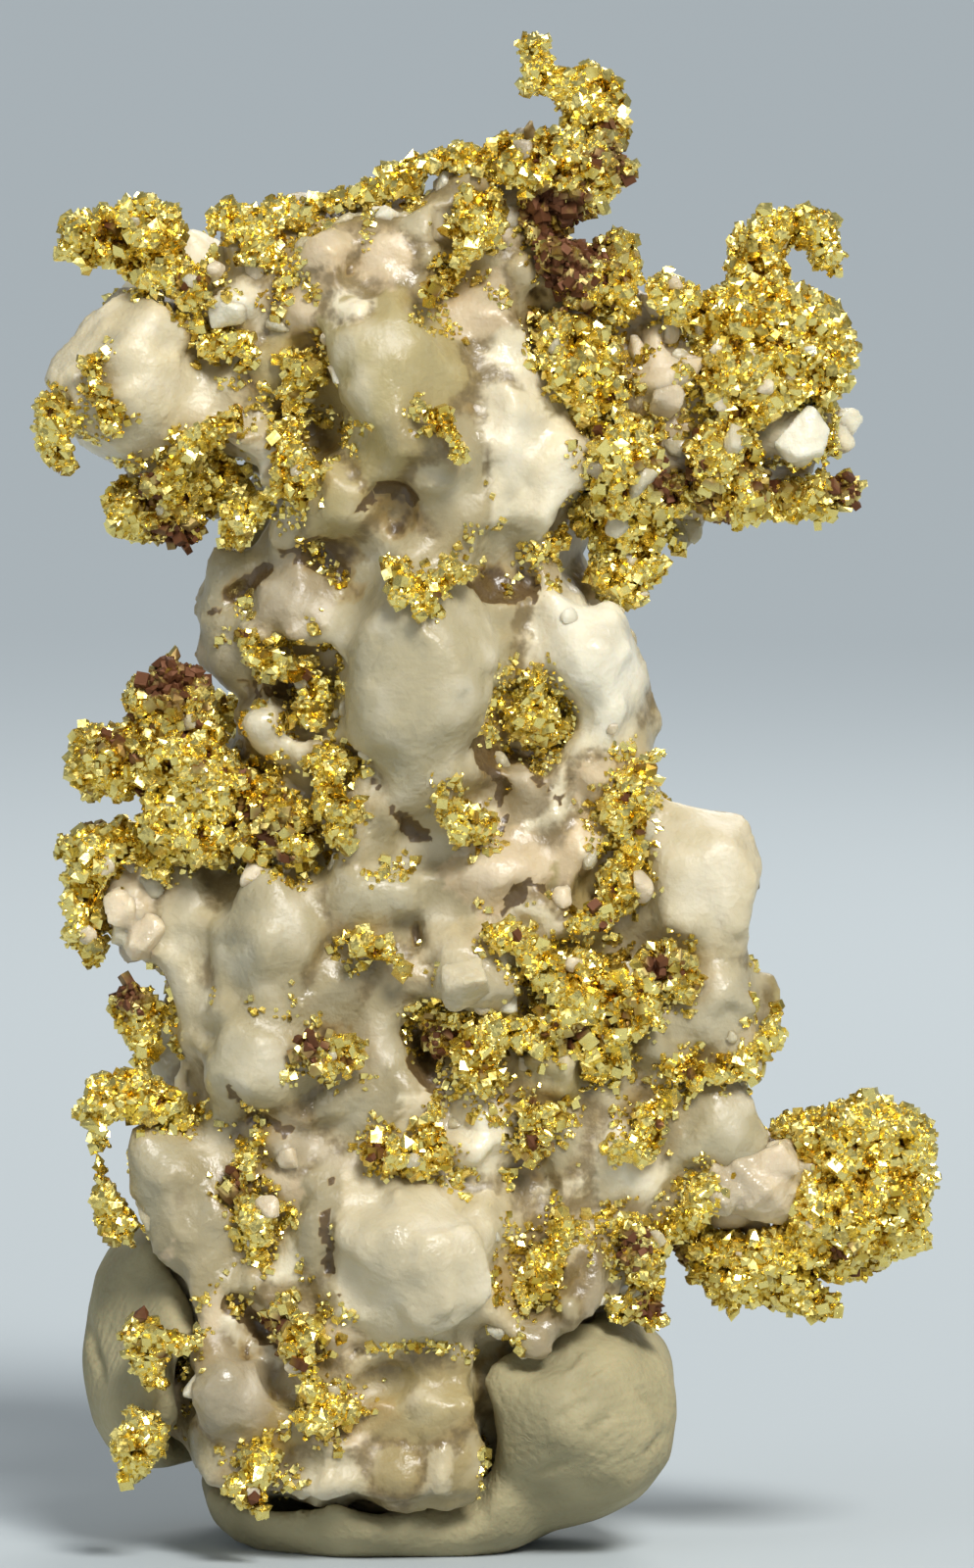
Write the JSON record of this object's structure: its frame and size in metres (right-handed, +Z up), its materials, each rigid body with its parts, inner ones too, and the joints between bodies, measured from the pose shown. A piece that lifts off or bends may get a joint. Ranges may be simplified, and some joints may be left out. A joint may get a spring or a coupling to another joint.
{
  "type": "gold in quartz mineral specimen",
  "caption": "Upright mass of milky quartz crystals grown over with crusts, veins and a side lobe of native gold, standing in a mound of grey mineral putty.",
  "frame": {"origin": "middle of the bounding box, on the table under the putty", "axes": "+Z up along the specimen, +X to the right of its front, the front faces -Y"},
  "size_m": [0.0368, 0.0196, 0.0624],
  "materials": {
    "quartz": "milky, waxy lustre, yellow-brown stain in its seams",
    "gold": "bright, hackly crystalline native gold with brown iron stain",
    "putty": "matt grey-green mineral putty with finger prints"
  },
  "bodies": {
    "root": {"quartz": "quartz", "lobe_quartz": "quartz", "spire": "gold", "crest": "gold", "crest_face": "gold", "saddle": "gold", "left_horn": "gold", "left_crest": "gold", "left_shoulder": "gold", "lump_streak": "gold", "lump_patch": "gold", "throat": "gold", "under_lump": "gold", "under_neck": "gold", "crystal_vein": "gold", "shoulder_face": "gold", "arm_face": "gold", "hook": "gold", "arm_crown": "gold", "arm_seam": "gold", "arm_underside": "gold", "arm_drop": "gold", "crack_left": "gold", "crack_right": "gold", "neck_vein": "gold", "neck_fan": "gold", "centre_vein": "gold", "tip_vein": "gold", "right_seam": "gold", "middle_vein": "gold", "triangle": "gold", "left_flank": "gold", "left_nub": "gold", "left_spike": "gold", "left_strip": "gold", "main_band": "gold", "band_end": "gold", "block_vein": "gold", "brown_vein": "gold", "lower_seam": "gold", "lower_strand": "gold", "lower_rosette": "gold", "foot_vein": "gold", "foot_grain": "gold", "tooth_left": "gold", "tooth_right": "gold", "lobe": "gold", "lower_left": "gold", "lower_corner": "gold", "base_grain": "gold", "back_crest": "gold", "back_band": "gold", "back_low": "gold", "putty": "putty"}
  },
  "joints": []
}
